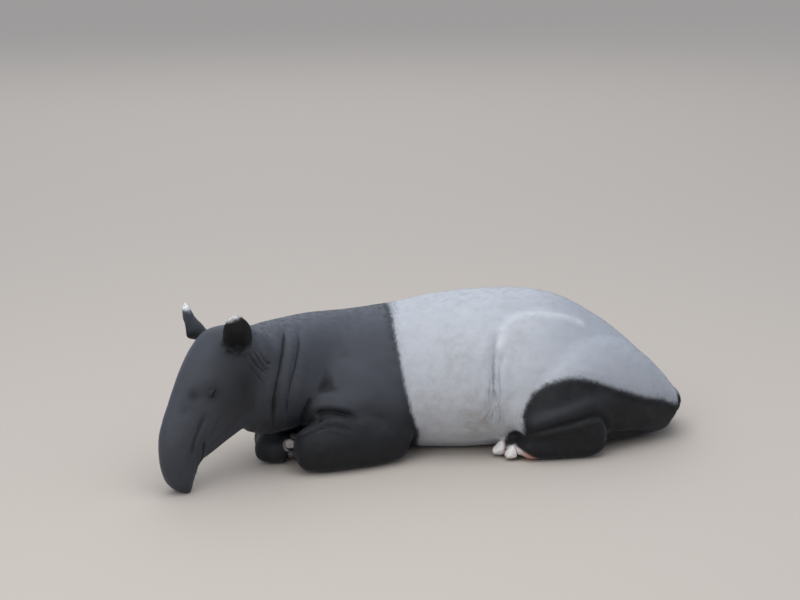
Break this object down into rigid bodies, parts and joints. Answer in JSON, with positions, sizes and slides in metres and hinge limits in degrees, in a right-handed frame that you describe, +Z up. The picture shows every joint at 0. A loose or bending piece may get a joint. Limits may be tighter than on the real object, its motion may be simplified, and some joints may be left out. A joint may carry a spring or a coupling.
{
  "type": "malayan tapir",
  "caption": "Still, life-size model of an adult Malayan tapir lying on its belly, with its legs folded under and its snout on the floor.",
  "frame": {"origin": "on the flat of the belly, on the midline, at the height of the floor", "axes": "+X towards the rump, +Y towards the right flank, +Z up from the floor"},
  "size_m": [1.8007, 0.7851, 0.5576],
  "materials": {
    "black_hide": "satin",
    "pale_hide": "satin",
    "ear_skin": "satin",
    "eye": "gloss",
    "hoof_horn": "matte"
  },
  "bodies": {
    "root": {"head": "black_hide", "snout": "black_hide", "neck": "black_hide", "shoulders": "black_hide", "forearm_left": "black_hide", "forearm_right": "black_hide", "fore_foot_left": "black_hide", "fore_foot_right": "black_hide", "thigh_left": "black_hide", "thigh_right": "black_hide", "shank_left": "black_hide", "shank_right": "black_hide", "hind_foot_left": "black_hide", "hind_foot_right": "black_hide", "barrel": "pale_hide", "rump": "pale_hide", "tail": "pale_hide", "ear_left": "ear_skin", "ear_right": "ear_skin", "eye_left": "eye", "eye_right": "eye", "hoof_fore_left_1": "hoof_horn", "hoof_fore_left_2": "hoof_horn", "hoof_fore_left_3": "hoof_horn", "hoof_fore_left_4": "hoof_horn", "hoof_fore_right_1": "hoof_horn", "hoof_fore_right_2": "hoof_horn", "hoof_fore_right_3": "hoof_horn", "hoof_fore_right_4": "hoof_horn", "hoof_hind_left_1": "hoof_horn", "hoof_hind_left_2": "hoof_horn", "hoof_hind_left_3": "hoof_horn", "hoof_hind_right_1": "hoof_horn", "hoof_hind_right_2": "hoof_horn", "hoof_hind_right_3": "hoof_horn"}
  },
  "joints": []
}
